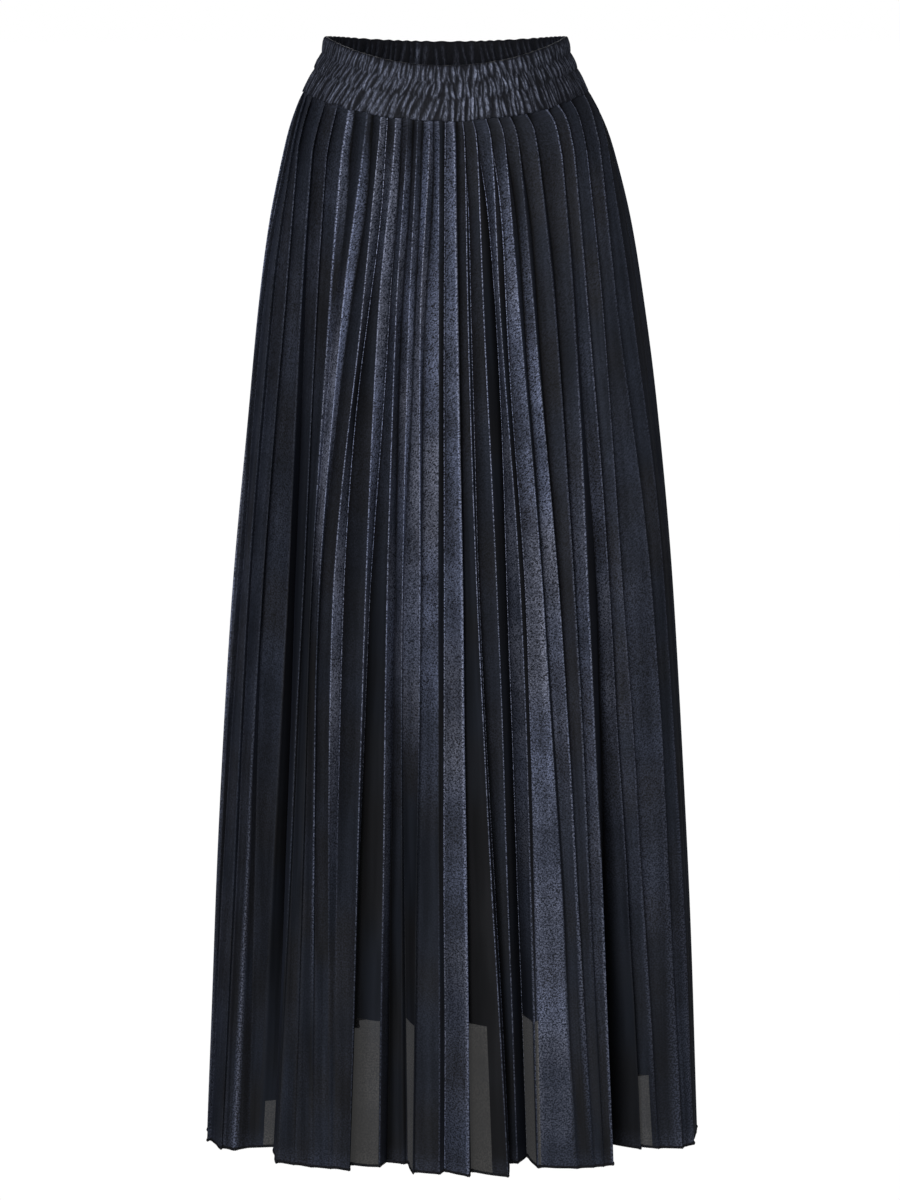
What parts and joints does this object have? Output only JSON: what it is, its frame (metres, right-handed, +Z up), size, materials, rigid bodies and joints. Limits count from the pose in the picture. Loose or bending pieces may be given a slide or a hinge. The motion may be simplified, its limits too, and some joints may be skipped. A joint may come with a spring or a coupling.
{
  "type": "pleated maxi skirt",
  "caption": "Long flared skirt of thin shiny pleated cloth, hollow and filled out as worn, with a gathered elastic waistband and an overlocked hem.",
  "frame": {"origin": "middle of the waist opening, level with the two sides of the waistband's rim", "axes": "+Z up, -Y to the front of the skirt, +X to the right as seen from the front"},
  "size_m": [0.458, 0.3789, 1.007],
  "materials": {
    "waistband_cloth": "the same thin shiny cloth, gathered tight over elastic",
    "pleated_cloth": "thin, slightly see-through satin with a fine crinkled shimmer, pressed into sharp pleats",
    "hem_thread": "matt overlocking and stitching thread"
  },
  "bodies": {
    "root": {"waistband": "waistband_cloth", "front_panel": "pleated_cloth", "back_panel": "pleated_cloth"}
  },
  "joints": []
}
